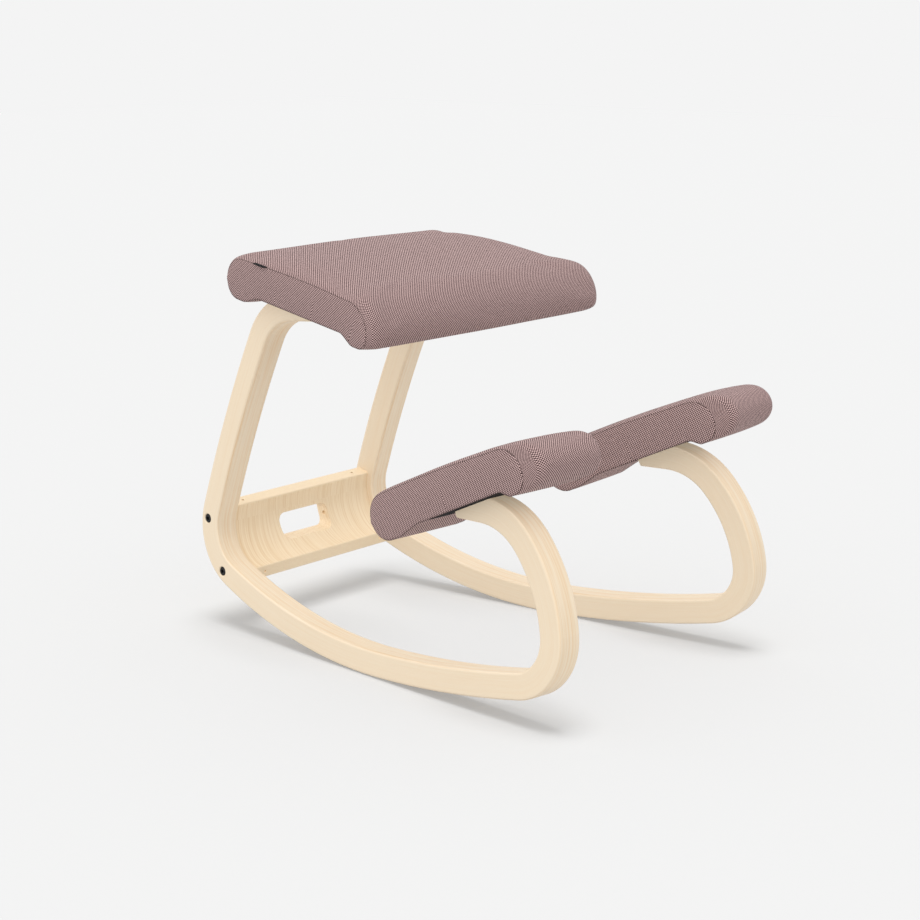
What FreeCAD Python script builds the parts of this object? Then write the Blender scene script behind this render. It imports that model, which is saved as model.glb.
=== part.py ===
import FreeCAD, Part
import math
import os
from FreeCAD import Placement, Rotation, Vector

# Kneeling chair: two bent wooden side frames that end in rockers, a curved crosspiece at
# the back, an upholstered seat and two upholstered knee pads. Millimetres, +Z up, the
# sitter faces -Y, and the origin is on the floor under the middle of the chair.

# Side frames: one laminated strip each, bent all round from the knee arm to the seat arm.
strip_thickness = 34.6
strip_width = 36.0
strip_edge_radius = 3.0
frame_spacing = 379.6
splay_angle = 4.5
lean_angle = 2.15

# Centre-line bends of the strip from the lowest point, as radius and angle turned.
rocker_radius = 702.0
rocker_rear_turn = 23.7
rear_bend_radius = 74.0
rear_bend_turn = 83.7
upright_radius = 2068.0
upright_turn = 7.7
top_bend_radius = 79.0
top_bend_turn = 58.1
seat_arm_radius = 1560.0
seat_arm_turn = 5.0
rocker_front_turn = 2.2
toe_radius = 1486.0
toe_turn = 9.9
front_bend_radius = 66.8
front_bend_turn = 85.8
front_rise_radius = 194.5
front_rise_turn = 34.9
knee_bend_radius = 96.5
knee_bend_turn = 48.3
knee_arm_length = 60.0

# Where the seat and the knee pads sit: the middle of each flat underside.
seat_back = 91.4
seat_height = 472.5
seat_tilt = 8.4
pad_spacing = 345.4
pad_forward = 194.0
pad_height = 262.2
pad_tilt = 24.6

# Ends of the two arms, measured along the cushion from the middle of its underside.
seat_arm_end = -32.0
knee_arm_end = 27.5

# Crosspiece: a curved plywood board that follows the rear bend.
board_thickness = 20.0
board_mid_radius = 75.0
board_lower_angle = -74.0
board_upper_angle = 19.2
board_edge_radius = 2.0
slot_length = 100.0
slot_height = 36.2
slot_corner_radius = 12.0
slot_angle = -23.7
slot_cut_angle = 3.0
pilot_hole_radius = 2.0
pilot_hole_depth = 14.0
upper_pilot_spacing = 228.0
lower_pilot_spacing = 242.0
slot_pilot_radius = 3.0
slot_pilot_depth = 22.0

# Bolts that hold the crosspiece, with the threaded inserts in its ends.
frame_bolt_radius = 3.0
frame_bolt_head_radius = 6.2
frame_bolt_head_height = 7.0
frame_bolt_recess = 7.5
frame_bolt_ring = 78.0
frame_bolt_upper_inset = 14.0
frame_bolt_lower_inset = 18.5
insert_radius = 5.5
insert_length = 25.0
insert_bore_spare = 2.0
frame_bolt_end_gap = 4.0
counterbore_chamfer = 1.2
bolt_chamfer = 0.8
hex_key_width = 5.0
hex_key_depth = 4.0

# Cushions: a plywood board and foam in a sewn cover, closed below with felt.
cover_thickness = 1.8
felt_thickness = 1.4
felt_margin = 9.0
ply_side_margin = 6.0
ply_corner_radius = 14.0
foam_gap = 0.3
felt_corner_radius = 4.0
cushion_edge_radius = 7.0
lip_radius = 10.0
lip_run = 16.0
roll_radius = 17.0
roll_undercut = 14.0
roll_slope = 10.0
roll_middle = 14.0
crown_radius = 400.0

seat_front_width = 474.0
seat_rear_width = 410.0
seat_front_reach = 141.0
seat_rear_reach = 158.5
seat_flat_front = 81.0
seat_flat_rear = 84.0
seat_front_drop = 12.5
seat_rear_drop = 13.0
seat_front_height = 51.0
seat_crown = 55.0
seat_rear_height = 51.5
seat_ply_thickness = 9.0
seat_ply_end_margin = 62.0

pad_width = 118.0
pad_front_reach = 161.0
pad_rear_reach = 147.0
pad_flat_front = 92.0
pad_flat_rear = 63.0
pad_front_drop = 13.5
pad_rear_drop = 9.0
pad_front_height = 48.5
pad_crown = 56.5
pad_rear_height = 57.0
pad_ply_thickness = 15.0
pad_ply_end_margin = 24.0

# Bolts, washers and tee nuts that hold the cushions.
cushion_bolt_radius = 3.0
cushion_bolt_head_radius = 5.25
cushion_bolt_head_height = 3.3
arm_grip = 8.0
washer_radius = 7.0
washer_thickness = 1.2
pocket_radius = 8.0
tee_flange_radius = 9.5
tee_flange_thickness = 1.4
tee_barrel_radius = 4.2
tee_barrel_length = 9.0
cushion_bolt_stand = 1.0
foam_bolt_gap = 1.0
seat_bolt_places = (-8.0, 62.0)
pad_bolt_places = (-20.0, 9.0)

# Blank tag sewn into the seat's side seam, so that a thin strip stands out sideways.
tag_length = 24.0
tag_thickness = 1.0
tag_stand = 5.0
tag_sewn = 1.2
tag_place = 87.0
tag_rise = 2.0

thread_clearance = 0.05
hole_clearance = 0.4
reach = 400.0


def ray(angle):
    """Unit vector in the frame's own plane, at an angle above the rearward direction."""
    turn = math.radians(angle)
    return Vector(0, math.cos(turn), math.sin(turn))


def bends(direction, sizes):
    """Centre-line arcs that follow on from the strip's lowest point."""
    arcs = []
    angle = -90.0
    point = Vector(0, 0, strip_thickness / 2)
    for radius, turn in sizes:
        centre = point - ray(angle) * radius
        after = angle + direction * turn
        arcs.append((centre, radius, angle, after))
        angle = after
        point = centre + ray(angle) * radius
    return arcs


front_arcs = bends(-1, [
    (rocker_radius, rocker_front_turn),
    (toe_radius, toe_turn),
    (front_bend_radius, front_bend_turn),
    (front_rise_radius, front_rise_turn),
    (knee_bend_radius, knee_bend_turn),
])
rear_arcs = bends(1, [
    (rocker_radius, rocker_rear_turn),
    (rear_bend_radius, rear_bend_turn),
    (upright_radius, upright_turn),
    (top_bend_radius, top_bend_turn),
    (seat_arm_radius, seat_arm_turn),
])
rear_bend_centre = rear_arcs[1][0]

# Placements of the left side, from each piece's own frame to the chair's.
frame_splayed = Placement(
    Vector(frame_spacing / 2, 0, 0), Rotation(Vector(0, 0, 1), splay_angle))
pad_splayed = Placement(Vector(pad_spacing / 2, 0, 0), Rotation(Vector(0, 0, 1), splay_angle))
frame_place = frame_splayed * Placement(Vector(), Rotation(Vector(0, 1, 0), -lean_angle))
seat_place = Placement(Vector(0, seat_back, seat_height), Rotation(Vector(1, 0, 0), seat_tilt))
pad_place = pad_splayed * Placement(
    Vector(0, -pad_forward, pad_height), Rotation(Vector(1, 0, 0), -pad_tilt))


def moved(shape, placement):
    """Copy of a shape, put where a placement says."""
    copy = shape.copy()
    copy.transformShape(placement.toMatrix(), True)
    return copy


def mirrored(shape):
    """The same piece for the right side."""
    return shape.mirror(Vector(), Vector(1, 0, 0))


def arc_edge(centre, radius, start, end):
    """Edge along a circle in the frame's plane."""
    points = [centre + ray(a) * radius for a in (start, (start + end) / 2, end)]
    return Part.Arc(*points).toShape()


def box(x0, x1, y0, y1, z0, z1):
    return Part.makeBox(x1 - x0, y1 - y0, z1 - z0, Vector(x0, y0, z0))


def rod(radius, start, end):
    """Cylinder between two points."""
    return Part.makeCylinder(radius, (end - start).Length, start, end - start)


def strip_outline():
    """Closed outline of the bent strip, seen from the side."""
    edges = []
    ends = []
    for side in (-1, 1):
        offset = side * strip_thickness / 2
        for centre, radius, start, end in front_arcs + rear_arcs:
            edges.append(arc_edge(centre, radius + offset, start, end))
        centre, radius, start, end = front_arcs[-1]
        knee = centre + ray(end) * (radius + offset)
        tip = knee + ray(end).cross(Vector(1, 0, 0)) * knee_arm_length
        edges.append(Part.makeLine(knee, tip))
        centre, radius, start, end = rear_arcs[-1]
        ends.append((tip, centre + ray(end) * (radius + offset)))
    for inner, outer in zip(*ends):
        edges.append(Part.makeLine(inner, outer))
    return Part.Wire(Part.__sortEdges__(edges))


def bolt_line(angle):
    """Point on the frame's middle plane where a crosspiece bolt passes."""
    return rear_bend_centre + ray(angle) * frame_bolt_ring


def frame_bolt_angles():
    return [board_lower_angle + frame_bolt_lower_inset, board_upper_angle - frame_bolt_upper_inset]


def side_frame():
    """Left side frame: the bent strip, with its arms cut flat for the cushions."""
    half = strip_width / 2
    strip = Part.Face(strip_outline()).extrude(Vector(strip_width, 0, 0))
    strip.translate(Vector(-half, 0, 0))
    long_edges = [e for e in strip.Edges if e.BoundBox.XLength < 0.01]
    strip = strip.makeFillet(strip_edge_radius, long_edges)
    outer = Vector(half, 0, 0)
    floor = Vector(half - frame_bolt_recess, 0, 0)
    for angle in frame_bolt_angles():
        at = bolt_line(angle)
        strip = strip.cut(rod(frame_bolt_radius + hole_clearance, at - outer * 2, at + outer * 2))
        recess = rod(frame_bolt_head_radius + hole_clearance, at + floor, at + outer * 2)
        wide = frame_bolt_head_radius + hole_clearance + counterbore_chamfer
        chamfer = Part.makeCone(
            wide - counterbore_chamfer, wide, counterbore_chamfer,
            at + outer - Vector(counterbore_chamfer, 0, 0), Vector(1, 0, 0))
        strip = strip.cut(recess).cut(chamfer)
    strip = moved(strip, frame_place)
    high = strip_thickness * 3
    low = -strip_thickness * 1.5
    above_seat = box(-reach, reach, -seat_front_reach, reach, 0, high)
    beyond_seat = box(-reach, reach, -seat_front_reach, seat_arm_end, low, high)
    above_pad = box(-reach, reach, -pad_front_reach, pad_rear_reach, 0, high)
    beyond_pad = box(-reach, reach, knee_arm_end, pad_rear_reach, low, high)
    for cutter, placement in (
            (above_seat, seat_place), (beyond_seat, seat_place),
            (above_pad, pad_place), (beyond_pad, pad_place)):
        strip = strip.cut(moved(cutter, placement))
    through = Vector(0, 0, 2 * strip_thickness)
    for points, placement in ((seat_bolt_points(), seat_place), (pad_bolt_points(), pad_place)):
        for at in points:
            hole = rod(cushion_bolt_radius + hole_clearance, at - through, at)
            pocket = rod(pocket_radius, at - through, at - Vector(0, 0, arm_grip))
            strip = strip.cut(moved(hole.fuse(pocket), placement))
    return strip


def arm_centre(point, placement):
    """Sideways place of the frame's middle plane at a point of a cushion's underside."""
    there = placement.multVec(point)
    local = frame_place.inverse().multVec(there)
    local.x = 0
    return placement.inverse().multVec(frame_place.multVec(local)).x


def seat_bolt_points():
    return [Vector(arm_centre(Vector(frame_spacing / 2, y, 0), seat_place), y, 0)
            for y in seat_bolt_places]


def pad_bolt_points():
    return [Vector(arm_centre(Vector(0, y, 0), pad_place), y, 0) for y in pad_bolt_places]


def rear_crosspiece():
    """Curved board between the frames, with the hand slot and its small pilot holes."""
    inner = board_mid_radius - board_thickness / 2
    outer = board_mid_radius + board_thickness / 2
    centre = frame_place.multVec(rear_bend_centre)
    centre.x = 0
    edges = [arc_edge(centre, r, board_lower_angle, board_upper_angle) for r in (inner, outer)]
    for angle in (board_lower_angle, board_upper_angle):
        edges.append(Part.makeLine(centre + ray(angle) * inner, centre + ray(angle) * outer))
    profile = Part.Face(Part.Wire(Part.__sortEdges__(edges)))
    half = frame_spacing / 2
    board = profile.extrude(Vector(2 * half, 0, 0))
    board.translate(Vector(-half, 0, 0))
    long_edges = [e for e in board.Edges if e.BoundBox.XLength > half]
    board = board.makeFillet(board_edge_radius, long_edges)
    outside = moved(box(-strip_width / 2, reach, 0, reach, -reach, reach), frame_place)
    board = board.cut(outside).cut(mirrored(outside))

    slot = box(-slot_length / 2, slot_length / 2, 0, outer * 2, -slot_height / 2, slot_height / 2)
    corners = [e for e in slot.Edges if e.BoundBox.YLength > outer]
    slot = slot.makeFillet(slot_corner_radius, corners)
    slot_mouth = centre + ray(slot_angle) * inner - ray(slot_cut_angle) * board_thickness
    slot_place = Placement(slot_mouth, Rotation(Vector(1, 0, 0), slot_cut_angle))
    board = board.cut(moved(slot, slot_place))

    for angle, spacing, inward in (
            (board_upper_angle, upper_pilot_spacing, -1), (board_lower_angle, lower_pilot_spacing, 1)):
        mouth = centre + ray(angle) * board_mid_radius
        into = ray(angle + 90) * inward
        for side in (-1, 1):
            at = mouth + Vector(side * spacing / 2, 0, 0)
            board = board.cut(rod(pilot_hole_radius, at - into, at + into * pilot_hole_depth))
    middle = centre + ray(slot_angle) * inner + ray(slot_cut_angle) * board_thickness / 2
    slot_pilot = Vector(slot_length / 2 + slot_pilot_depth, 0, 0)
    board = board.cut(rod(slot_pilot_radius, middle - slot_pilot, middle + slot_pilot))

    for seat in insert_seats():
        for shape in (seat, mirrored(seat)):
            board = board.cut(shape)
    return board


def insert_seats():
    """Blind bores in the crosspiece's left end that hold the threaded inserts."""
    depth = Vector(strip_width / 2 + insert_length + insert_bore_spare, 0, 0)
    return [moved(rod(insert_radius, bolt_line(angle), bolt_line(angle) - depth), frame_place)
            for angle in frame_bolt_angles()]


def threaded_inserts():
    """Steel inserts in the crosspiece's left end."""
    face = Vector(-strip_width / 2, 0, 0)
    length = Vector(-insert_length, 0, 0)
    inserts = []
    for angle in frame_bolt_angles():
        at = bolt_line(angle) + face
        body = rod(insert_radius, at, at + length)
        body = body.cut(rod(frame_bolt_radius + thread_clearance, at, at + length * 2))
        inserts.append(moved(body, frame_place))
    return inserts


def socket(radius, height, top):
    """Hexagonal key socket, cut down from a bolt head's top along -X."""
    corners = [top + Vector(0, math.cos(math.radians(60 * i)), math.sin(math.radians(60 * i)))
               * (radius / math.cos(math.radians(30))) for i in range(7)]
    return Part.Face(Part.makePolygon(corners)).extrude(Vector(-height, 0, 0))


def frame_bolts():
    """Socket-head bolts through the left frame into the inserts."""
    bolts = []
    for angle in frame_bolt_angles():
        under_head = bolt_line(angle) + Vector(strip_width / 2 - frame_bolt_recess, 0, 0)
        top = under_head + Vector(frame_bolt_head_height, 0, 0)
        hold = strip_width / 2 + insert_length - frame_bolt_end_gap
        end = bolt_line(angle) - Vector(hold, 0, 0)
        head = rod(frame_bolt_head_radius, under_head, top)
        rim = [e for e in head.Edges if e.BoundBox.XMin > top.x - 0.01]
        head = head.makeChamfer(bolt_chamfer, rim)
        bolt = head.fuse(rod(frame_bolt_radius, end, under_head))
        bolt = bolt.cut(socket(hex_key_width / 2, hex_key_depth, top))
        bolts.append(moved(bolt, frame_place))
    return bolts


def rounded_outline(corners):
    """Closed side view through corners given as place, height and corner radius."""
    points = [Vector(0, y, z) for y, z, _ in corners]
    starts = []
    ends = []
    edges = []
    for i, (_, _, radius) in enumerate(corners):
        at = points[i]
        back = (points[i - 1] - at).normalize()
        ahead = (points[(i + 1) % len(points)] - at).normalize()
        half = back.getAngle(ahead) / 2
        middle = (back + ahead).normalize()
        start = at + back * (radius / math.tan(half))
        end = at + ahead * (radius / math.tan(half))
        top = at + middle * (radius / math.sin(half) - radius)
        edges.append(Part.Arc(start, top, end).toShape())
        starts.append(start)
        ends.append(end)
    for i, end in enumerate(ends):
        edges.append(Part.makeLine(end, starts[(i + 1) % len(starts)]))
    return Part.Wire(Part.__sortEdges__(edges))


def cushion_profile(reaches, flats, drops, heights):
    """Side view of a cushion: thick rolls at both ends hang below a flat underside."""
    front, rear = reaches
    flat_front, flat_rear = flats
    front_drop, rear_drop = drops
    front_height, crown, rear_height = heights
    return rounded_outline([
        (-flat_front, 0, lip_radius),
        (-flat_front - lip_run, -front_drop, lip_radius),
        (-front + roll_undercut, -front_drop, roll_radius / 2),
        (-front, roll_middle, roll_radius),
        (-front + roll_slope, front_height, roll_radius),
        (0, crown, crown_radius),
        (rear - roll_slope, rear_height, roll_radius),
        (rear, roll_middle, roll_radius),
        (rear - roll_undercut, -rear_drop, roll_radius / 2),
        (flat_rear + lip_run, -rear_drop, lip_radius),
        (flat_rear, 0, lip_radius),
    ])


def cushion_solid(profile, reaches, widths, inset, radius):
    """Cushion body inside its cover by an inset, narrower towards the rear."""
    front, rear = reaches
    wire = profile if inset == 0 else profile.makeOffset2D(-inset)
    wide = max(widths)
    body = Part.Face(wire).extrude(Vector(wide * 2, 0, 0))
    body.translate(Vector(-wide, 0, 0))
    front_width, rear_width = (width - 2 * inset for width in widths)
    block = plate(front_width, rear_width, -front, rear, -reach, reach, 0)
    body = body.common(block)
    ends = [f for f in body.Faces if abs(f.normalAt(0, 0).x) > 0.9]
    return body.makeFillet(radius, [e for f in ends for e in f.Edges])


def plate(front_width, rear_width, y0, y1, z0, z1, corner):
    """Flat plate that narrows towards the rear, with rounded corners."""
    points = [Vector(-front_width / 2, y0, z0), Vector(front_width / 2, y0, z0),
              Vector(rear_width / 2, y1, z0), Vector(-rear_width / 2, y1, z0)]
    solid = Part.Face(Part.makePolygon(points + points[:1])).extrude(Vector(0, 0, z1 - z0))
    if corner > 0:
        upright = [e for e in solid.Edges if e.BoundBox.ZLength > (z1 - z0) / 2]
        solid = solid.makeFillet(corner, upright)
    return solid


def cushion(sizes, widths, ply_thickness, ply_end_margin, bolt_points):
    """All the pieces of one cushion, in its own frame: name to shape."""
    reaches, flats = sizes[:2]
    front, rear = reaches
    flat_front, flat_rear = flats
    front_width, rear_width = widths
    profile = cushion_profile(*sizes)

    def width_at(y):
        share = (y + front) / (front + rear)
        return front_width + (rear_width - front_width) * share

    inner_radius = cushion_edge_radius - cover_thickness
    outer = cushion_solid(profile, reaches, widths, 0, cushion_edge_radius)
    inner = cushion_solid(profile, reaches, widths, cover_thickness, inner_radius)
    fill = cushion_solid(profile, reaches, widths, cover_thickness + foam_gap, inner_radius)
    edge = 2 * felt_margin
    y0 = -flat_front + felt_margin
    y1 = flat_rear - felt_margin
    opening = plate(width_at(y0) - edge, width_at(y1) - edge, y0, y1,
                    -cover_thickness, 2 * cover_thickness, felt_corner_radius)
    cover = outer.cut(inner).cut(opening)
    gap = foam_gap
    felt = plate(width_at(y0) - edge - 2 * gap, width_at(y1) - edge - 2 * gap,
                 y0 + gap, y1 - gap, 0, felt_thickness, felt_corner_radius - gap)

    low = cover_thickness + foam_gap
    top = low + ply_thickness
    y0 = -front + ply_end_margin
    y1 = rear - ply_end_margin
    margin = 2 * (cover_thickness + ply_side_margin)
    board = plate(width_at(y0) - margin, width_at(y1) - margin, y0, y1,
                  low, top, ply_corner_radius)
    foam = fill.cut(board)

    nuts = []
    bolts = []
    washers = []
    nut_top = top + tee_flange_thickness
    bolt_end = nut_top + cushion_bolt_stand
    up = Vector(0, 0, 1)
    for at in bolt_points:
        hole = rod(cushion_bolt_radius + hole_clearance, at - up * reach, at + up * reach)
        felt = felt.cut(hole)
        flange = rod(tee_flange_radius, at + up * top, at + up * nut_top)
        barrel = rod(tee_barrel_radius, at + up * (top - tee_barrel_length), at + up * top)
        board = board.cut(hole).cut(barrel)
        thread = rod(cushion_bolt_radius + thread_clearance, at, at + up * reach)
        nuts.append(flange.fuse(barrel).cut(thread))
        foam = foam.cut(rod(tee_flange_radius, at, at + up * nut_top))
        bolt_room = at + up * (bolt_end + foam_bolt_gap)
        foam = foam.cut(rod(cushion_bolt_radius + foam_bolt_gap, at, bolt_room))
        seat = at - up * arm_grip
        head_top = seat - up * washer_thickness
        washers.append(rod(washer_radius, head_top, seat).cut(hole))
        head = rod(cushion_bolt_head_radius, head_top - up * cushion_bolt_head_height, head_top)
        rim = [e for e in head.Edges if e.BoundBox.ZMax < head.BoundBox.ZMin + 0.01]
        head = head.makeChamfer(bolt_chamfer, rim)
        bolts.append(head.fuse(rod(cushion_bolt_radius, head_top, at + up * bolt_end)))
    return {"cover": cover, "foam": foam, "board": board, "underside_felt": felt,
            "tee_nuts": nuts, "bolts": bolts, "washers": washers}


def seat_tag(gap):
    """Blank fabric tag in the right-hand side seam, or with a gap the slit that holds it."""
    length = seat_front_reach + seat_rear_reach
    share = (tag_place + seat_front_reach) / length
    half = (seat_front_width + (seat_rear_width - seat_front_width) * share) / 2
    slope = math.degrees(math.atan2((seat_front_width - seat_rear_width) / 2, length))
    tag = box(-tag_sewn - gap, tag_stand, -tag_length / 2 - gap, tag_length / 2 + gap,
              -tag_thickness / 2 - gap, tag_thickness / 2 + gap)
    at = Placement(Vector(half, tag_place, seat_rear_height - cushion_edge_radius + tag_rise),
                   Rotation(Vector(0, 0, 1), slope))
    return mirrored(moved(tag, at))


def build():
    """Every node of the chair: name to shape."""
    nodes = {}
    frame = side_frame()
    nodes["side_frame_left"] = frame
    nodes["side_frame_right"] = mirrored(frame)
    nodes["rear_crosspiece"] = rear_crosspiece()
    for name, shapes in (("crosspiece_bolts", frame_bolts()),
                         ("crosspiece_inserts", threaded_inserts())):
        nodes[name] = Part.makeCompound(shapes + [mirrored(s) for s in shapes])

    seat_sizes = (
        (seat_front_reach, seat_rear_reach), (seat_flat_front, seat_flat_rear),
        (seat_front_drop, seat_rear_drop), (seat_front_height, seat_crown, seat_rear_height))
    seat_widths = (seat_front_width, seat_rear_width)
    left = seat_bolt_points()
    right = [Vector(-p.x, p.y, p.z) for p in left]
    seat = cushion(
        seat_sizes, seat_widths, seat_ply_thickness, seat_ply_end_margin, left + right)
    seat["cover"] = seat["cover"].cut(seat_tag(foam_gap))
    seat["blank_tag"] = seat_tag(0)
    for name, shape in seat.items():
        solid = Part.makeCompound(shape) if isinstance(shape, list) else shape
        nodes["seat_" + name] = moved(solid, seat_place)

    pad_sizes = (
        (pad_front_reach, pad_rear_reach), (pad_flat_front, pad_flat_rear),
        (pad_front_drop, pad_rear_drop), (pad_front_height, pad_crown, pad_rear_height))
    pad_widths = (pad_width, pad_width)
    for name, shape in cushion(
            pad_sizes, pad_widths, pad_ply_thickness, pad_ply_end_margin, pad_bolt_points()).items():
        solid = Part.makeCompound(shape) if isinstance(shape, list) else shape
        placed = moved(solid, pad_place)
        nodes["knee_pad_left_" + name] = placed
        nodes["knee_pad_right_" + name] = mirrored(placed)
    return nodes


def to_origin(nodes):
    """Puts the origin on the floor under the middle of the chair's length."""
    bounds = nodes["side_frame_left"].optimalBoundingBox(False, False)
    shift = Vector(0, -(bounds.YMin + bounds.YMax) / 2, -bounds.ZMin)
    return {name: moved(shape, Placement(shift, Rotation())) for name, shape in nodes.items()}


os.makedirs("parts", exist_ok=True)
for node, part in to_origin(build()).items():
    part.exportStep(os.path.join("parts", node + ".step"))
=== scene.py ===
import math

import bmesh
import bpy
import numpy as np
from mathutils import Matrix, Vector


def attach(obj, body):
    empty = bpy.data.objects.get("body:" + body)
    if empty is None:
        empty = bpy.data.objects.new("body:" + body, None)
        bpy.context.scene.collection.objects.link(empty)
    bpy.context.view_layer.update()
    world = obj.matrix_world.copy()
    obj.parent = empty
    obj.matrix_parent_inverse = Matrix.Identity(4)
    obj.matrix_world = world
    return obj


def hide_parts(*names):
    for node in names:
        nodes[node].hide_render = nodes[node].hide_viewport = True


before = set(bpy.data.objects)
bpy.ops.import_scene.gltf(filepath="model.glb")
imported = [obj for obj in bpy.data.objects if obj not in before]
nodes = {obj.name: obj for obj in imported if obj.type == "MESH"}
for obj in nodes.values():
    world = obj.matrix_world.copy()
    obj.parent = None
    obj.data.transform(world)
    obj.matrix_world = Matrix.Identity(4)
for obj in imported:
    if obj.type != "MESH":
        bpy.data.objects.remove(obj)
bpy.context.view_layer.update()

scene = bpy.context.scene

# The photographer's camera: a long lens at the chair's right front, a little above the
# seat. The photograph is square.
camera = bpy.data.objects.new("camera", bpy.data.cameras.new("camera"))
scene.collection.objects.link(camera)
camera.data.lens = 78.26
camera.data.sensor_width = 36.0
camera.data.clip_end = 50.0
camera.location = (-2.0450, -1.73883, 0.86685)
camera.rotation_euler = Vector((0.74101, 0.63388, -0.22158)).to_track_quat("-Z", "Y").to_euler()
scene.camera = camera
scene.view_settings.view_transform = "Standard"

# Studio: a pale seamless floor and an even pale surround. Two soft lamps light the chair,
# one overhead from the picture's left and one low in front. Two more light only the floor,
# and the second of them gives the runners their contact shadow.
BACKDROP = 0.905
FLOOR_GREY = 0.342
FLOOR_HALF = 12.0
floor_mesh = bpy.data.meshes.new("studio_floor")
floor_mesh.from_pydata(
    [(x * FLOOR_HALF, y * FLOOR_HALF, 0) for x, y in ((-1, -1), (1, -1), (1, 1), (-1, 1))],
    [], [(0, 1, 2, 3)])
floor = bpy.data.objects.new("studio_floor", floor_mesh)
scene.collection.objects.link(floor)
paper = bpy.data.materials.new("studio_paper")
paper.use_nodes = True
paper_shader = paper.node_tree.nodes["Principled BSDF"]
paper_shader.inputs["Base Color"].default_value = (FLOOR_GREY, FLOOR_GREY, FLOOR_GREY, 1)
paper_shader.inputs["Roughness"].default_value = 1.0
paper_shader.inputs["Specular IOR Level"].default_value = 0.0
floor_mesh.materials.append(paper)

world = bpy.data.worlds.new("studio")
scene.world = world
world.use_nodes = True
surround = world.node_tree.nodes["Background"]
surround.inputs["Color"].default_value = (BACKDROP, BACKDROP, BACKDROP, 1)
surround.inputs["Strength"].default_value = 1.0

on_floor = bpy.data.collections.new("floor_only")
on_floor.objects.link(floor)
on_chair = bpy.data.collections.new("chair_only")
runners = bpy.data.collections.new("runners")
for name in nodes:
    on_chair.objects.link(nodes[name])
    if name.startswith(("side_frame", "rear_crosspiece")):
        runners.objects.link(nodes[name])
for name, source, spread, power, lit, blockers in (
        ("soft_key", (-0.38, 0.05, 1.0), 30.0, 1.4, on_chair, None),
        ("low_fill", (-0.5, -1.0, 0.25), 50.0, 0.33, on_chair, None),
        ("floor_wash", (0.0, 0.0, 1.0), 30.0, 2.5, on_floor, None),
        ("floor_light", (-0.05, -0.06, 1.0), 32.0, 3.0, on_floor, runners)):
    lamp = bpy.data.objects.new(name, bpy.data.lights.new(name, "SUN"))
    lamp.data.angle = math.radians(spread)
    lamp.data.energy = power
    lamp.rotation_euler = (-Vector(source)).to_track_quat("-Z", "Y").to_euler()
    scene.collection.objects.link(lamp)
    lamp.light_linking.receiver_collection = lit
    if blockers:
        lamp.light_linking.blocker_collection = blockers
    else:
        lamp.data.use_shadow = False


# Side frames: each is one strip of thin beech veneers, glued and bent in a press, with its
# long edges rounded and clear lacquer over it. The veneers follow every bend, so the
# pattern is laid out by depth through the strip, length along it and place across it.
STRIP_BENDS = [
    (702.0, 23.7, 1), (74.0, 83.7, 1), (2068.0, 7.7, 1), (79.0, 58.1, 1), (1560.0, 5.0, 1),
    (702.0, 2.2, -1), (1486.0, 9.9, -1), (66.8, 85.8, -1), (194.5, 34.9, -1), (96.5, 48.3, -1),
    (20000.0, 0.3, -1)]
STRIP_THICKNESS = 34.6
SPLAY = math.radians(4.5)
LEAN = math.radians(2.15)
FRAME_MIDDLE = (189.8, 4.27, 0.55)
VENEER = 1.75
BEND_OVERLAP = 0.3


def add(tree, kind, operation=None, **settings):
    """One node, with its operation and plain settings."""
    made = tree.nodes.new(kind)
    if operation:
        made.operation = operation
    for key, value in settings.items():
        setattr(made, key, value)
    return made


def calc(tree, operation, *values):
    """One Math node whose inputs are sockets or numbers; returns its output."""
    made = add(tree, "ShaderNodeMath", operation)
    for socket, value in zip(made.inputs, values):
        if isinstance(value, (int, float)):
            socket.default_value = value
        else:
            tree.links.new(value, socket)
    return made.outputs[0]


def strip_arcs():
    """Arcs of the strip: centre, radius, middle angle, half turn, length at the middle."""
    arcs = []
    for way in (1, -1):
        angle = -math.pi / 2
        y, z, length = 0.0, STRIP_THICKNESS / 2, 0.0
        for radius, turn, side in STRIP_BENDS:
            if side != way:
                continue
            turn = math.radians(turn)
            cy, cz = y - radius * math.cos(angle), z - radius * math.sin(angle)
            middle = angle + way * turn / 2
            arcs.append((cy, cz, radius, middle, turn / 2, way * (length + radius * turn / 2)))
            angle += way * turn
            length += radius * turn
            y, z = cy + radius * math.cos(angle), cz + radius * math.sin(angle)
    return arcs


def in_millimetres(tree, place=(0, 0, 0), turn=(0, 0, 0)):
    """Place on the piece as x, y and z, in millimetres from a point along turned axes."""
    where = add(tree, "ShaderNodeTexCoord")
    turned = add(tree, "ShaderNodeMapping", vector_type="TEXTURE")
    turned.inputs["Location"].default_value = place
    turned.inputs["Rotation"].default_value = turn
    turned.inputs["Scale"].default_value = (0.001, 0.001, 0.001)
    tree.links.new(where.outputs["Object"], turned.inputs["Vector"])
    parts = add(tree, "ShaderNodeSeparateXYZ")
    tree.links.new(turned.outputs["Vector"], parts.inputs[0])
    return parts.outputs


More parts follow.
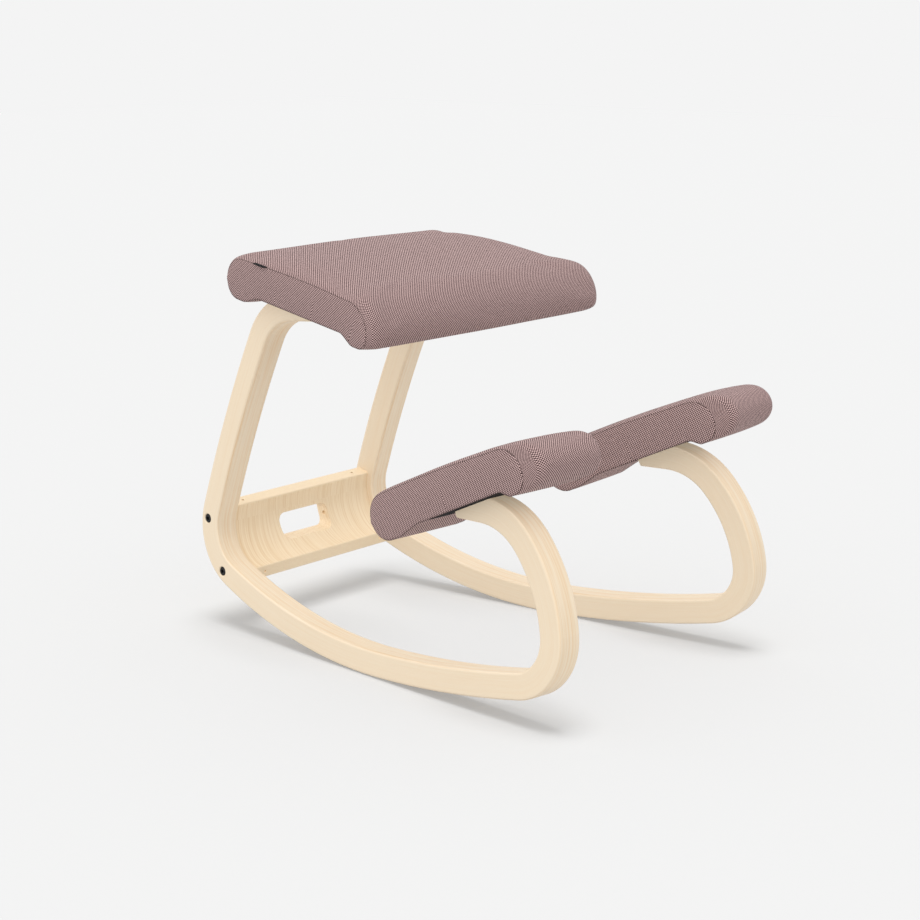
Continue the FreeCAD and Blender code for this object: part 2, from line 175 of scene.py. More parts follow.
def strip_layout(tree, side):
    """Depth, length and place across a side frame's strip, in millimetres."""
    middle = (side * FRAME_MIDDLE[0] / 1000, FRAME_MIDDLE[1] / 1000, FRAME_MIDDLE[2] / 1000)
    x, y, z = in_millimetres(tree, middle, (0, -side * LEAN, side * SPLAY))
    depth_sum, length_sum, weight_sum = 0.0, 0.0, 0.0
    for cy, cz, radius, middle, half, length in strip_arcs():
        dy = calc(tree, "SUBTRACT", y, cy)
        dz = calc(tree, "SUBTRACT", z, cz)
        square = calc(tree, "MULTIPLY_ADD", dy, dy, calc(tree, "MULTIPLY", dz, dz))
        depth = calc(tree, "SUBTRACT", calc(tree, "SQRT", square), radius)
        off = calc(tree, "SUBTRACT", calc(tree, "ARCTAN2", dz, dy), middle)
        off = calc(tree, "WRAP", off, -math.pi, math.pi)
        near = calc(tree, "LESS_THAN", calc(tree, "ABSOLUTE", off), half + BEND_OVERLAP / radius)
        level = calc(tree, "LESS_THAN", calc(tree, "ABSOLUTE", depth), STRIP_THICKNESS)
        here = calc(tree, "MULTIPLY", near, level)
        along = calc(tree, "MULTIPLY_ADD", off, radius, length)
        depth_sum = calc(tree, "MULTIPLY_ADD", depth, here, depth_sum)
        length_sum = calc(tree, "MULTIPLY_ADD", along, here, length_sum)
        weight_sum = calc(tree, "ADD", here, weight_sum)
    weight_sum = calc(tree, "MAXIMUM", weight_sum, 0.001)
    depth = calc(tree, "DIVIDE", depth_sum, weight_sum)
    along = calc(tree, "DIVIDE", length_sum, weight_sum)
    return depth, along, x


def blend(tree, base, *shares):
    """A base value plus each socket times its share."""
    total = base
    for share, socket in shares:
        total = calc(tree, "MULTIPLY_ADD", socket, share, total)
    return total


def roughen(tree, height, strength, distance):
    """Relief on a finish, from a height socket and a depth in metres."""
    bump = add(tree, "ShaderNodeBump")
    bump.inputs["Strength"].default_value = strength
    bump.inputs["Distance"].default_value = distance
    tree.links.new(height, bump.inputs["Height"])
    tree.links.new(bump.outputs[0], tree.nodes["Principled BSDF"].inputs["Normal"])


EDGE_START = 1.6
GLUE_START = 0.34


def veneer_finish(material, depth, along, across, pale, dark, rim=None, rim_at=0.0):
    """Lacquered veneers: long grain on the faces, fine glue lines on the sawn edges."""
    tree = material.node_tree
    shader = tree.nodes["Principled BSDF"]
    layers = calc(tree, "DIVIDE", depth, VENEER)
    sheet = calc(tree, "FLOOR", layers)

    def streaks(across_step, along_step, detail, seed):
        spot = add(tree, "ShaderNodeCombineXYZ")
        tree.links.new(calc(tree, "DIVIDE", across, across_step), spot.inputs[0])
        tree.links.new(calc(tree, "DIVIDE", along, along_step), spot.inputs[1])
        layer = calc(tree, "MULTIPLY_ADD", sheet, 7.31, seed)
        tree.links.new(layer, spot.inputs[2])
        noise = add(tree, "ShaderNodeTexNoise")
        noise.inputs["Scale"].default_value = 1.0
        noise.inputs["Detail"].default_value = detail
        noise.inputs["Roughness"].default_value = 0.6
        tree.links.new(spot.outputs[0], noise.inputs["Vector"])
        return calc(tree, "SUBTRACT", noise.outputs["Fac"], 0.5)

    broad = streaks(9.0, 220.0, 2.0, 0.0)
    lines = streaks(2.1, 150.0, 2.0, 41.0)
    pores = streaks(0.5, 12.0, 1.0, 83.0)
    part = calc(tree, "ABSOLUTE", calc(tree, "SUBTRACT", calc(tree, "FRACT", layers), 0.5))
    glue = add(tree, "ShaderNodeMapRange", interpolation_type="SMOOTHSTEP")
    glue.inputs["From Min"].default_value = GLUE_START
    glue.inputs["From Max"].default_value = 0.5
    tree.links.new(part, glue.inputs["Value"])
    glue = glue.outputs[0]
    face_tone = blend(tree, 0.20, (0.9, broad), (1.9, lines), (0.4, pores))
    edge_tone = blend(tree, 0.08, (0.35, broad), (0.3, lines), (0.16, glue), (0.12, pores))
    tone = add(tree, "ShaderNodeMix", data_type="FLOAT")
    tone.inputs["Factor"].default_value = 0.0
    if rim:
        beyond = calc(tree, "SUBTRACT", calc(tree, "ABSOLUTE", rim), rim_at - EDGE_START)
        on_edge = calc(tree, "MINIMUM", calc(tree, "MAXIMUM", beyond, 0.0), 1.0)
        tree.links.new(on_edge, tone.inputs["Factor"])
    tree.links.new(face_tone, tone.inputs["A"])
    tree.links.new(edge_tone, tone.inputs["B"])
    colour = add(tree, "ShaderNodeMix", data_type="RGBA")
    colour.inputs["A"].default_value = (*pale, 1)
    colour.inputs["B"].default_value = (*dark, 1)
    tree.links.new(tone.outputs["Result"], colour.inputs["Factor"])
    tree.links.new(colour.outputs["Result"], shader.inputs["Base Color"])
    tree.links.new(blend(tree, 0.44, (0.16, lines)), shader.inputs["Roughness"])
    shader.inputs["Specular IOR Level"].default_value = 0.3
    roughen(tree, calc(tree, "MULTIPLY_ADD", glue, -0.3, pores), 0.15, 0.0002)


def plain_material(name, colour, roughness, metallic=0.0):
    """A named Principled material to build on."""
    made = bpy.data.materials.new(name)
    made.use_nodes = True
    shader = made.node_tree.nodes["Principled BSDF"]
    shader.inputs["Base Color"].default_value = (*colour, 1)
    shader.inputs["Roughness"].default_value = roughness
    shader.inputs["Metallic"].default_value = metallic
    return made


def dress(node, material):
    """Gives a CAD node its finish."""
    slots = nodes[node].material_slots
    if not slots:
        nodes[node].data.materials.append(material)
    for held in slots:
        held.material = material


STRIP_WIDTH = 36.0
BEECH_PALE = (0.795, 0.672, 0.508)
BEECH_DARK = (0.720, 0.500, 0.280)
for side, name in ((1, "left"), (-1, "right")):
    beech = plain_material("lacquered_beech_" + name, BEECH_PALE, 0.45)
    depth, along, across = strip_layout(beech.node_tree, side)
    veneer_finish(beech, depth, along, across, BEECH_PALE, BEECH_DARK, across, STRIP_WIDTH / 2)
    dress("side_frame_" + name, beech)


# Crosspiece: a board of thin plies moulded to the rear bend, with a hand slot. Its face
# veneer runs along the bend, and the plies show in its upper and lower edges.
BEND_MIDDLE = (0.0, 0.25594, 0.14405)
BOARD_MIDDLE_RADIUS = 75.0
BOARD_MIDDLE_ALONG = 35.9
BOARD_HALF_ARC = 61.0
BOARD_SWAY = 26.0
BOARD_PALE = (0.84, 0.69, 0.49)
BOARD_DARK = (0.70, 0.50, 0.28)


def pattern(tree, kind, scale, detail=None, **settings):
    """A texture laid on the piece in metres."""
    where = add(tree, "ShaderNodeTexCoord")
    made = add(tree, kind, **settings)
    made.inputs["Scale"].default_value = scale
    if detail is not None:
        made.inputs["Detail"].default_value = detail
    tree.links.new(where.outputs["Object"], made.inputs["Vector"])
    return made


moulded = plain_material("moulded_beech_board", BEECH_PALE, 0.45)
tree = moulded.node_tree
x, y, z = in_millimetres(tree, BEND_MIDDLE)
square = calc(tree, "MULTIPLY_ADD", y, y, calc(tree, "MULTIPLY", z, z))
depth = calc(tree, "SUBTRACT", calc(tree, "SQRT", square), BOARD_MIDDLE_RADIUS)
along = calc(tree, "MULTIPLY", calc(tree, "ARCTAN2", z, y), BOARD_MIDDLE_RADIUS)
sway = pattern(tree, "ShaderNodeTexNoise", 9.0, 0.0)
across = calc(tree, "MULTIPLY_ADD", sway.outputs["Fac"], BOARD_SWAY, x)
from_middle = calc(tree, "ADD", along, BOARD_MIDDLE_ALONG)
veneer_finish(moulded, depth, along, across, BOARD_PALE, BOARD_DARK, from_middle, BOARD_HALF_ARC)
dress("rear_crosspiece", moulded)


# Hardware: black oxide bolts with hexagon sockets hold the frames to the crosspiece's
# threaded inserts. Zinc plated tee nuts and washers take the bolts that hold the cushions.
def speckled_metal(name, colour, roughness, metallic, scale):
    """Metal with a fine uneven finish."""
    made = plain_material(name, colour, roughness, metallic)
    tree = made.node_tree
    noise = pattern(tree, "ShaderNodeTexNoise", scale, 4.0).outputs["Fac"]
    tree.links.new(blend(tree, roughness - 0.12, (0.25, noise)),
                   tree.nodes["Principled BSDF"].inputs["Roughness"])
    roughen(tree, noise, 0.2, 0.0001)
    return made


black_oxide = speckled_metal("black_oxide_steel", (0.012, 0.012, 0.013), 0.42, 0.6, 900.0)
zinc = speckled_metal("zinc_plated_steel", (0.60, 0.60, 0.58), 0.38, 1.0, 700.0)
for name in nodes:
    if name.endswith("_bolts"):
        dress(name, black_oxide)
    elif name.endswith(("_tee_nuts", "_washers", "_inserts")):
        dress(name, zinc)


# Boards inside the cushions: raw birch plywood, cut flat, which carries the tee nuts. The
# foam, the felt and the cover hide it.
ply = plain_material("raw_plywood", (0.66, 0.52, 0.34), 0.7)
x, y, z = in_millimetres(ply.node_tree)
veneer_finish(ply, z, x, y, (0.70, 0.57, 0.38), (0.50, 0.36, 0.20))
for name in nodes:
    if name.endswith("_board"):
        dress(name, ply)


# Felt under each cushion: a black non-woven sheet, laid over the board last, that hides it
# and the cover's turned-in edge.
felt = plain_material("black_non_woven_felt", (0.018, 0.018, 0.020), 0.95)
tree = felt.node_tree
fibres = pattern(tree, "ShaderNodeTexNoise", 900.0, 6.0).outputs["Fac"]
shade = add(tree, "ShaderNodeValToRGB")
shade.color_ramp.elements[0].color = (0.004, 0.004, 0.005, 1)
shade.color_ramp.elements[1].color = (0.016, 0.016, 0.019, 1)
tree.nodes["Principled BSDF"].inputs["Specular IOR Level"].default_value = 0.1
tree.links.new(fibres, shade.inputs[0])
tree.links.new(shade.outputs[0], tree.nodes["Principled BSDF"].inputs["Base Color"])
roughen(tree, fibres, 0.5, 0.0004)
for name in nodes:
    if name.endswith("_underside_felt"):
        dress(name, felt)


# Foam inside the covers: pale open-cell blocks, cut to shape and laid round the boards. The
# covers hide them.
foam = plain_material("open_cell_foam", (0.80, 0.76, 0.62), 0.9)
cells = pattern(foam.node_tree, "ShaderNodeTexVoronoi", 600.0)
roughen(foam.node_tree, cells.outputs["Distance"], 0.6, 0.0005)
for name in nodes:
    if name.endswith("_foam"):
        dress(name, foam)


# Cover fabric: a heavy two-tone basket weave of dark brown and pale mauve threads. The
# weave follows each panel's own cloth, laid out at its true size in the cushion's UV map.
# Each thread's colour darkens towards its edges: painted shade in the grooves between threads.
THREAD = 1.75
THREAD_DARK = (0.036, 0.013, 0.013, 1)
THREAD_PALE = (0.655, 0.458, 0.440, 1)
EVEN_OFFSET = 100000.0
weave = plain_material("two_tone_weave", (0.36, 0.28, 0.27), 0.9)
tree = weave.node_tree
shader = tree.nodes["Principled BSDF"]
shader.inputs["Specular IOR Level"].default_value = 0.15
shader.inputs["Sheen Weight"].default_value = 0.05
shader.inputs["Sheen Roughness"].default_value = 0.5
cloth_map = add(tree, "ShaderNodeUVMap", uv_map="cloth")
parts = add(tree, "ShaderNodeSeparateXYZ")
tree.links.new(cloth_map.outputs[0], parts.inputs[0])
warp = calc(tree, "DIVIDE", parts.outputs[0], THREAD / 1000)
weft = calc(tree, "DIVIDE", parts.outputs[1], THREAD / 1000)


def thread_round(position):
    """How high a round thread stands, across its own width."""
    offset = calc(tree, "SUBTRACT", calc(tree, "FRACT", position), 0.5)
    square = calc(tree, "MULTIPLY", offset, offset)
    return calc(tree, "MULTIPLY_ADD", square, -4.0, 1.0)


step = calc(tree, "ADD", calc(tree, "FLOOR", warp), calc(tree, "FLOOR", weft))
over = calc(tree, "MODULO", calc(tree, "ADD", step, EVEN_OFFSET), 2.0)
over = calc(tree, "GREATER_THAN", over, 0.5)
thread_height = calc(tree, "MULTIPLY", thread_round(warp), thread_round(weft))
slub = add(tree, "ShaderNodeTexNoise")
slub.inputs["Scale"].default_value = 260.0
slub.inputs["Detail"].default_value = 2.0
tree.links.new(cloth_map.outputs[0], slub.inputs["Vector"])
threads = add(tree, "ShaderNodeMix", data_type="RGBA")
threads.inputs["A"].default_value = THREAD_DARK
threads.inputs["B"].default_value = THREAD_PALE
lift = calc(tree, "MULTIPLY_ADD", slub.outputs["Fac"], 0.4, -0.2)
tree.links.new(calc(tree, "ADD", over, lift), threads.inputs["Factor"])
# Painted shade: the colour is multiplied down to 0.55 where a thread dips at its edges, standing
# for shadow in the grooves between threads.
painted_groove_shade = add(tree, "ShaderNodeMix", data_type="RGBA", blend_type="MULTIPLY")
painted_groove_shade.inputs["Factor"].default_value = 1.0
painted_shade_ramp = add(tree, "ShaderNodeValToRGB")
painted_shade_ramp.color_ramp.elements[0].color = (0.55, 0.55, 0.55, 1)
painted_shade_ramp.color_ramp.elements[1].position = 0.5
painted_shade_ramp.color_ramp.elements[1].color = (1, 1, 1, 1)
tree.links.new(thread_height, painted_shade_ramp.inputs[0])
tree.links.new(threads.outputs["Result"], painted_groove_shade.inputs["A"])
tree.links.new(painted_shade_ramp.outputs[0], painted_groove_shade.inputs["B"])
tree.links.new(painted_groove_shade.outputs["Result"], shader.inputs["Base Color"])
roughen(tree, thread_height, 0.5, 0.0004)


# Cushions: a band of cloth runs round each cushion between two side panels, sewn to them
# along one plain seam a side. Foam fills it, so the band crowns between the seams, and
# thick rolls at both ends hang below the flat board.
CELL = 5.0
ARC_STEPS = 24
EVEN_SHARE = 0.45
FELT_RECESS = 1.9
PANEL_STEPS = 9
PANEL_BULGE = 2.2
HELD_MARGIN = 9
HELD_BELOW = 3.0
PUFF_LIMIT = 0.0035
PUFF_FRAMES = 20
SEAM_CREASE = 0.75


def rounded_loop(corners, step):
    """Points round a closed outline of straight runs and corner arcs, evenly spaced."""
    dense = []
    for i, (y, z, radius) in enumerate(corners):
        at = Vector((y, z))
        back = (Vector(corners[i - 1][:2]) - at).normalized()
        ahead = (Vector(corners[(i + 1) % len(corners)][:2]) - at).normalized()
        half = back.angle(ahead) / 2
        centre = at + (back + ahead).normalized() * (radius / math.sin(half))
        start, end = at + back * (radius / math.tan(half)), at + ahead * (radius / math.tan(half))
        a, b = start - centre, end - centre
        sweep = a.angle_signed(b)
        for k in range(ARC_STEPS + 1):
            turn = -sweep * k / ARC_STEPS
            c, s = math.cos(turn), math.sin(turn)
            dense.append((centre.x + a.x * c - a.y * s, centre.y + a.x * s + a.y * c))
    dense = np.array(dense)
    closed = np.vstack([dense, dense[:1]])
    run = np.concatenate([[0], np.cumsum(np.linalg.norm(np.diff(closed, axis=0), axis=1))])
    count = int(round(run[-1] / step))
    marks = np.linspace(0, run[-1], count, endpoint=False)
    return np.stack([np.interp(marks, run, closed[:, k]) for k in (0, 1)], -1)


def cushion_mesh(name, seam, crowns, half_width, opening, fullness, place):
    """One cushion's cloth: the crowned band and the two side panels, with a UV map."""
    loop = rounded_loop(seam, CELL)
    count = len(loop)
    ahead = np.roll(loop, -1, axis=0) - np.roll(loop, 1, axis=0)
    ahead /= np.linalg.norm(ahead, axis=1)[:, None]
    outward = np.stack([ahead[:, 1], -ahead[:, 0]], -1)
    if (outward * (loop - loop.mean(axis=0))).sum() < 0:
        outward = -outward
    rise = crowns(loop, outward)
    widths = half_width(loop[:, 0])
    columns = max(16, int(round(2 * widths.mean() / CELL)))
    steps = np.linspace(-1, 1, columns + 1)
    across = EVEN_SHARE * steps + (1 - EVEN_SHARE) * np.sin(steps * math.pi / 2)
    full = fullness(loop[:, 0])
    shape = (1 - np.abs(across)[None, :] ** full[:, None]) ** 0.5
    points = []
    for i in range(count):
        for j, u in enumerate(across):
            y, z = loop[i] + outward[i] * rise[i] * shape[i, j]
            x = u * widths[i]
            inside = opening[0] < y < opening[1] and abs(x) < widths[i] - opening[2]
            if inside and abs(outward[i][1] + 1) < 0.05:
                z += FELT_RECESS
            points.append((x, y, z))
    grid = np.arange(count * (columns + 1)).reshape(count, columns + 1)
    spots = np.array(points).reshape(count, columns + 1, 3)
    strides = np.linalg.norm(np.diff(spots, axis=1), axis=2)
    sideways = np.concatenate([np.zeros((count, 1)), np.cumsum(strides, axis=1)], axis=1)
    sideways -= sideways[:, -1:] / 2
    middle = spots[:, columns // 2, :]
    closed = np.vstack([middle, middle[:1]])
    lengths = np.concatenate([[0], np.cumsum(np.linalg.norm(np.diff(closed, axis=0), axis=1))])
    faces, charts = [], []
    for i in range(count):
        n = (i + 1) % count
        v0, v1 = lengths[i], lengths[i + 1]
        for j in range(columns):
            faces.append((grid[i, j], grid[i, j + 1], grid[n, j + 1], grid[n, j]))
            charts.append([(sideways[i, j], v0), (sideways[i, j + 1], v0),
                           (sideways[n, j + 1], v1), (sideways[n, j], v1)])
    # Side panels: rungs between the upper and lower runs of the seam.
    front, rear = int(loop[:, 0].argmin()), int(loop[:, 0].argmax())
    first = [k % count for k in range(front, front + (rear - front) % count + 1)]
    second = [k % count for k in range(front, front - (front - rear) % count - 1, -1)]
    rungs = max(len(first), len(second))
    first = [first[int(round(q))] for q in np.linspace(0, len(first) - 1, rungs)]
    second = [second[int(round(q))] for q in np.linspace(0, len(second) - 1, rungs)]
    for side, column in ((-1, 0), (1, columns)):
        rows = []
        for a, b in zip(first, second):
            row = [int(grid[a, column])]
            if a != b:
                pa, pb = np.array(points[row[0]]), np.array(points[int(grid[b, column])])
                for k in range(1, PANEL_STEPS):
                    w = k / PANEL_STEPS
                    bulge = side * PANEL_BULGE * math.sin(math.pi * w)
                    at = pa * (1 - w) + pb * w + np.array([bulge, 0, 0])
                    points.append(tuple(at))
                    row.append(len(points) - 1)
                row.append(int(grid[b, column]))
            rows.append(row)
        for row, following in zip(rows, rows[1:]):
            if len(row) == 1 or len(following) == 1:
                single, many = (row, following) if len(row) == 1 else (following, row)
                quads = [(single[0], many[k], many[k + 1]) for k in range(len(many) - 1)]
            else:
                quads = [(row[k], row[k + 1], following[k + 1], following[k])
                         for k in range(len(row) - 1)]
            for quad in quads:
                quad = tuple(dict.fromkeys(quad))
                if len(quad) < 3:
                    continue
                faces.append(quad)
                charts.append([(points[v][1], points[v][2]) for v in quad])
    mesh = bpy.data.meshes.new(name)
    mesh.from_pydata([tuple(c / 1000 for c in p) for p in points], [], faces)
    cloth = mesh.uv_layers.new(name="cloth")
    corner = 0
    for chart in charts:
        for u, v in chart:
            cloth.data[corner].uv = (u / 1000, v / 1000)
            corner += 1
    piece = bpy.data.objects.new(name, mesh)
    scene.collection.objects.link(piece)
    made = bmesh.new()
    made.from_mesh(mesh)
    bmesh.ops.recalc_face_normals(made, faces=made.faces)
    made.to_mesh(mesh)
    made.free()
    seam_points = [int(v) for column in (0, columns) for v in grid[:, column]]
    flat = [v for v, (_, y, z) in enumerate(points)
            if z < HELD_BELOW and opening[0] - HELD_MARGIN < y < opening[1] + HELD_MARGIN]
    held = piece.vertex_groups.new(name="held")
    held.add(sorted(set(seam_points + flat)), 1.0, "REPLACE")
    mesh.transform(place)
    return piece, grid[:, 0], grid[:, columns]


def puff(piece):
    """Blows the cover out against its seams with cloth simulation, and keeps the result."""
    before = np.empty(len(piece.data.vertices) * 3)
    piece.data.vertices.foreach_get("co", before)
    cloth = piece.modifiers.new("puff", "CLOTH")
    for key, value in {
            "quality": 6, "mass": 0.2, "tension_stiffness": 25, "compression_stiffness": 10,
            "shear_stiffness": 8, "bending_stiffness": 3, "use_pressure": True,
            "uniform_pressure_force": 4, "vertex_group_mass": "held"}.items():
        setattr(cloth.settings, key, value)
    cloth.settings.effector_weights.gravity = 0
    cloth.collision_settings.use_collision = False
    cloth.point_cache.frame_start = 1
    cloth.point_cache.frame_end = PUFF_FRAMES
    for moment in range(1, PUFF_FRAMES + 1):
        scene.frame_set(moment)
    shown = piece.evaluated_get(bpy.context.evaluated_depsgraph_get())
    after = np.empty_like(before)
    shown.data.vertices.foreach_get("co", after)
    piece.modifiers.remove(cloth)
    scene.frame_set(1)
    move = (after - before).reshape(-1, 3)
    size = np.linalg.norm(move, axis=1)
    kept = PUFF_LIMIT * np.tanh(size / PUFF_LIMIT)
    after = before.reshape(-1, 3) + move * (kept / np.maximum(size, 1e-9))[:, None]
    piece.data.vertices.foreach_set("co", after.ravel())
    piece.data.update()
    print("%s: the cloth moved by up to %.1f mm, of which %.1f mm are kept"
          % (piece.name, size.max() * 1000, kept.max() * 1000))


def finish_cushion(piece, rows, replaced):
    """Smooths the cover, marks the seams and puts the piece on the chair."""
    made = bmesh.new()
    made.from_mesh(piece.data)
    crease = made.edges.layers.float.new("crease_edge")
    seam_sets = [set(int(v) for v in row) for row in rows]
    loops = [[tuple(piece.data.vertices[int(v)].co) for v in row] for row in rows]
    for edge in made.edges:
        ends = {v.index for v in edge.verts}
        if any(ends <= row for row in seam_sets):
            edge[crease] = SEAM_CREASE
    made.to_mesh(piece.data)
    made.free()
    smooth = piece.modifiers.new("smooth", "SUBSURF")
    smooth.levels = smooth.render_levels = 1
    smooth.uv_smooth = "NONE"
    bpy.context.view_layer.update()
    shown = piece.evaluated_get(bpy.context.evaluated_depsgraph_get())
    mesh = bpy.data.meshes.new_from_object(shown)
    piece.modifiers.clear()
    piece.data = mesh
    for face in mesh.polygons:
        face.use_smooth = True
    mesh.materials.clear()
    mesh.materials.append(weave)
    on_chair.objects.link(piece)
    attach(piece, "root")
    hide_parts(*replaced)
    sew(piece, loops)


# Seams: rows of short stitches along the seams that close each side panel, sunk between the
# two cloths. Their dark colour is painted shade, standing for the shadow line in each seam's
# groove.
# Geometry Nodes lay one short stitch after another along the seam.
STITCH_PITCH = 0.0034
STITCH_LENGTH = 0.0030
STITCH_RADIUS = 0.00035


def sewing_nodes():
    """Geometry Nodes tree: a row of stitches along each seam loop of its input."""
    group = bpy.data.node_groups.new("seam_stitches", "GeometryNodeTree")
    face = group.interface
    face.new_socket("Geometry", in_out="INPUT", socket_type="NodeSocketGeometry")
    for label in ("Stitch Pitch", "Stitch Length", "Thread Radius"):
        face.new_socket(label, in_out="INPUT", socket_type="NodeSocketFloat")
    face.new_socket("Thread", in_out="INPUT", socket_type="NodeSocketMaterial")
    face.new_socket("Geometry", in_out="OUTPUT", socket_type="NodeSocketGeometry")
    start = group.nodes.new("NodeGroupInput")
    end = group.nodes.new("NodeGroupOutput")
    loops = group.nodes.new("GeometryNodeMeshToCurve")
    even = group.nodes.new("GeometryNodeResampleCurve")
    even.mode = "LENGTH"
    spots = group.nodes.new("GeometryNodeCurveToPoints")
    spots.mode = "EVALUATED"
    thread = group.nodes.new("GeometryNodeMeshCylinder")
    thread.inputs["Vertices"].default_value = 6
    placed = group.nodes.new("GeometryNodeInstanceOnPoints")
    real = group.nodes.new("GeometryNodeRealizeInstances")
    coat = group.nodes.new("GeometryNodeSetMaterial")
    link = group.links.new
    link(start.outputs["Geometry"], loops.inputs["Mesh"])
    link(loops.outputs["Curve"], even.inputs["Curve"])
    link(start.outputs["Stitch Pitch"], even.inputs["Length"])
    link(even.outputs["Curve"], spots.inputs["Curve"])
    link(start.outputs["Thread Radius"], thread.inputs["Radius"])
    link(start.outputs["Stitch Length"], thread.inputs["Depth"])
    link(spots.outputs["Points"], placed.inputs["Points"])
    link(spots.outputs["Rotation"], placed.inputs["Rotation"])
    link(thread.outputs["Mesh"], placed.inputs["Instance"])
    link(placed.outputs["Instances"], real.inputs["Geometry"])
    link(real.outputs["Geometry"], coat.inputs["Geometry"])
    link(start.outputs["Thread"], coat.inputs["Material"])
    link(coat.outputs["Geometry"], end.inputs["Geometry"])
    return group


sewing = sewing_nodes()
# Painted shade: the stitches' dark colour stands for the shadow line in each seam's groove.
thread = plain_material("seam_painted_shade_thread", (0.115, 0.075, 0.070), 0.9)
twist = pattern(thread.node_tree, "ShaderNodeTexWave", 700.0, bands_direction="DIAGONAL")
roughen(thread.node_tree, twist.outputs["Fac"], 0.4, 0.0001)


def sew(cushion, loops):
    """Stitches along a cushion's two seams, as one plain mesh piece."""
    name = cushion.name + "_seams"
    points, edges = [], []
    for loop in loops:
        first = len(points)
        points += loop
        edges += [(first + k, first + (k + 1) % len(loop)) for k in range(len(loop))]
    lines = bpy.data.meshes.new(name)
    lines.from_pydata(points, edges, [])
    piece = bpy.data.objects.new(name, lines)
    scene.collection.objects.link(piece)
    layer = piece.modifiers.new("stitches", "NODES")
    layer.node_group = sewing
    values = {"Stitch Pitch": STITCH_PITCH, "Stitch Length": STITCH_LENGTH,
              "Thread Radius": STITCH_RADIUS, "Thread": thread}
    for item in sewing.interface.items_tree:
        if item.in_out == "INPUT" and item.name in values:
            layer[item.identifier] = values[item.name]
    bpy.context.view_layer.update()
    shown = piece.evaluated_get(bpy.context.evaluated_depsgraph_get())
    mesh = bpy.data.meshes.new_from_object(shown)
    piece.modifiers.clear()
    piece.data = mesh
    on_chair.objects.link(piece)
    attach(piece, "root")


# Seat cushion: wider at the front than at the rear, with a low crown along the top. Its
# board tilts forward on the frames' upper arms, and its front roll is the fuller one.
SEAT_PLACE = Matrix.Translation((0, 0.09567, 0.47305)) @ Matrix.Rotation(math.radians(8.4), 4, "X")
SEAT_SEAM = [
    (-85, 0, 10), (-106, -11.3, 10), (-133.5, -11.3, 13), (-133.5, 42.3, 40), (0, 47.5, 1500),
    (156.5, 44.0, 29), (156.5, -11, 25), (116, -11, 12), (88, 0, 12)]
SEAT_OPENING = (-72, 75, 9)
SEAT_FRONT = -139.0
SEAT_LENGTH = 296.0
SEAT_FRONT_HALF = 238.0
SEAT_REAR_HALF = 204.6


def seat_half_width(y):
    """Half the seat's width, from its wide front to its narrower rear."""
    return SEAT_FRONT_HALF + (SEAT_REAR_HALF - SEAT_FRONT_HALF) * (y - SEAT_FRONT) / SEAT_LENGTH


def seat_fullness(y):
    """How squarely the band meets its seams: it stays full further out at the front."""
    return 20.0 + 20.0 * np.clip((-80 - y) / 30, 0, 1)


def seat_crowns(loop, outward):
    """How far the cloth swells past its seams: top arch, front, rear and both rolls."""
    y, z = loop[:, 0], loop[:, 1]
    up = np.clip(outward[:, 1], 0, 1)
    front = np.clip(-outward[:, 0], 0, 1) * (y < -80)
    rear = np.clip(outward[:, 0], 0, 1) * (y > 90)
    rolls = np.clip(-outward[:, 1], 0, 1) * np.clip((-z - 2) / 8, 0, 1)
    arch = 5.4 + 5.9 * np.clip(1 - ((y + 10) / 132) ** 4, 0, 1)
    front = 14.0 * front ** np.where(outward[:, 1] > 0, 0.9, 4.0)
    return arch * up ** 2 + front + 10.5 * rear ** 2 + 1.8 * rolls ** 2


seat, seat_right, seat_left = cushion_mesh(
    "seat_cushion", SEAT_SEAM, seat_crowns, seat_half_width, SEAT_OPENING,
    seat_fullness, SEAT_PLACE)
puff(seat)
finish_cushion(seat, (seat_right, seat_left), ["seat_cover", "seat_foam"])


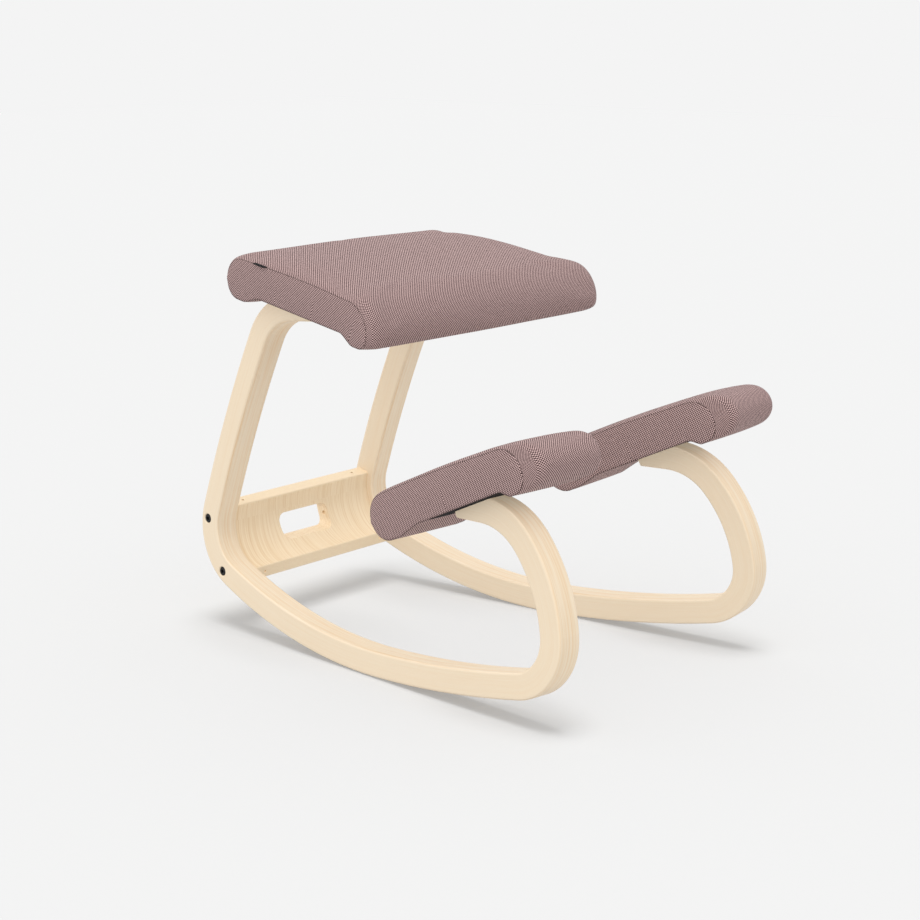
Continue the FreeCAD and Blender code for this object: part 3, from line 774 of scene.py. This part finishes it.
# Knee cushions: a pair, one on each frame's lower arm, splayed with it and tilted down
# towards the seat. Each has a thick nose at its upper end.
PAD_SEAM = [
    (-90, 0, 8), (-105, -10, 9), (-136.5, -10, 24), (-137, 47.2, 32), (10, 53.2, 1500),
    (149, 52, 30), (149, -8, 29), (105, -8, 10), (66, 0, 9)]
PAD_OPENING = (-83, 54, 9)
PAD_HALF_WIDTH = 57.0
PAD_TILT = math.radians(24.6)


def pad_half_width(y):
    """Half a knee cushion's width, the same all along."""
    return np.full_like(y, PAD_HALF_WIDTH)


def pad_fullness(y):
    """How squarely the band meets its seams, a little more so at the nose."""
    return 16.0 + 3.0 * np.clip((-70 - y) / 30, 0, 1)


def pad_crowns(loop, outward):
    """How far the cloth swells past its seams: most at the nose, least underneath."""
    up = np.clip(outward[:, 1], 0, 1)
    nose = np.clip(-outward[:, 0], 0, 1) * (loop[:, 0] < -80)
    tail = np.clip(outward[:, 0], 0, 1) * (loop[:, 0] > 60)
    down = np.clip(-outward[:, 1], 0, 1) * (loop[:, 1] < -6)
    return 3.7 * up ** 2 + 33.8 * nose ** 3.25 + 5.7 * tail ** 2 + 0.3 * down ** 2


for side, name in ((1, "left"), (-1, "right")):
    place = (
        Matrix.Translation((side * 0.1727, 0.00427, 0.00055))
        @ Matrix.Rotation(side * SPLAY, 4, "Z")
        @ Matrix.Translation((0, -0.194, 0.2622))
        @ Matrix.Rotation(-PAD_TILT, 4, "X"))
    pad, pad_right, pad_left = cushion_mesh(
        "knee_cushion_" + name, PAD_SEAM, pad_crowns, pad_half_width, PAD_OPENING,
        pad_fullness, place)
    puff(pad)
    inside = ["knee_pad_%s_%s" % (name, layer) for layer in ("cover", "foam")]
    finish_cushion(pad, (pad_right, pad_left), inside)


# Tag in the seat's side seam: a short folded piece of black woven tape, caught between the
# two cloths when they are sewn, and left blank.
tape = plain_material("black_woven_tape", (0.008, 0.008, 0.009), 0.8)
tape.node_tree.nodes["Principled BSDF"].inputs["Specular IOR Level"].default_value = 0.15
ribs = pattern(tape.node_tree, "ShaderNodeTexWave", 400.0)
roughen(tape.node_tree, ribs.outputs["Fac"], 0.3, 0.0002)
dress("seat_blank_tag", tape)
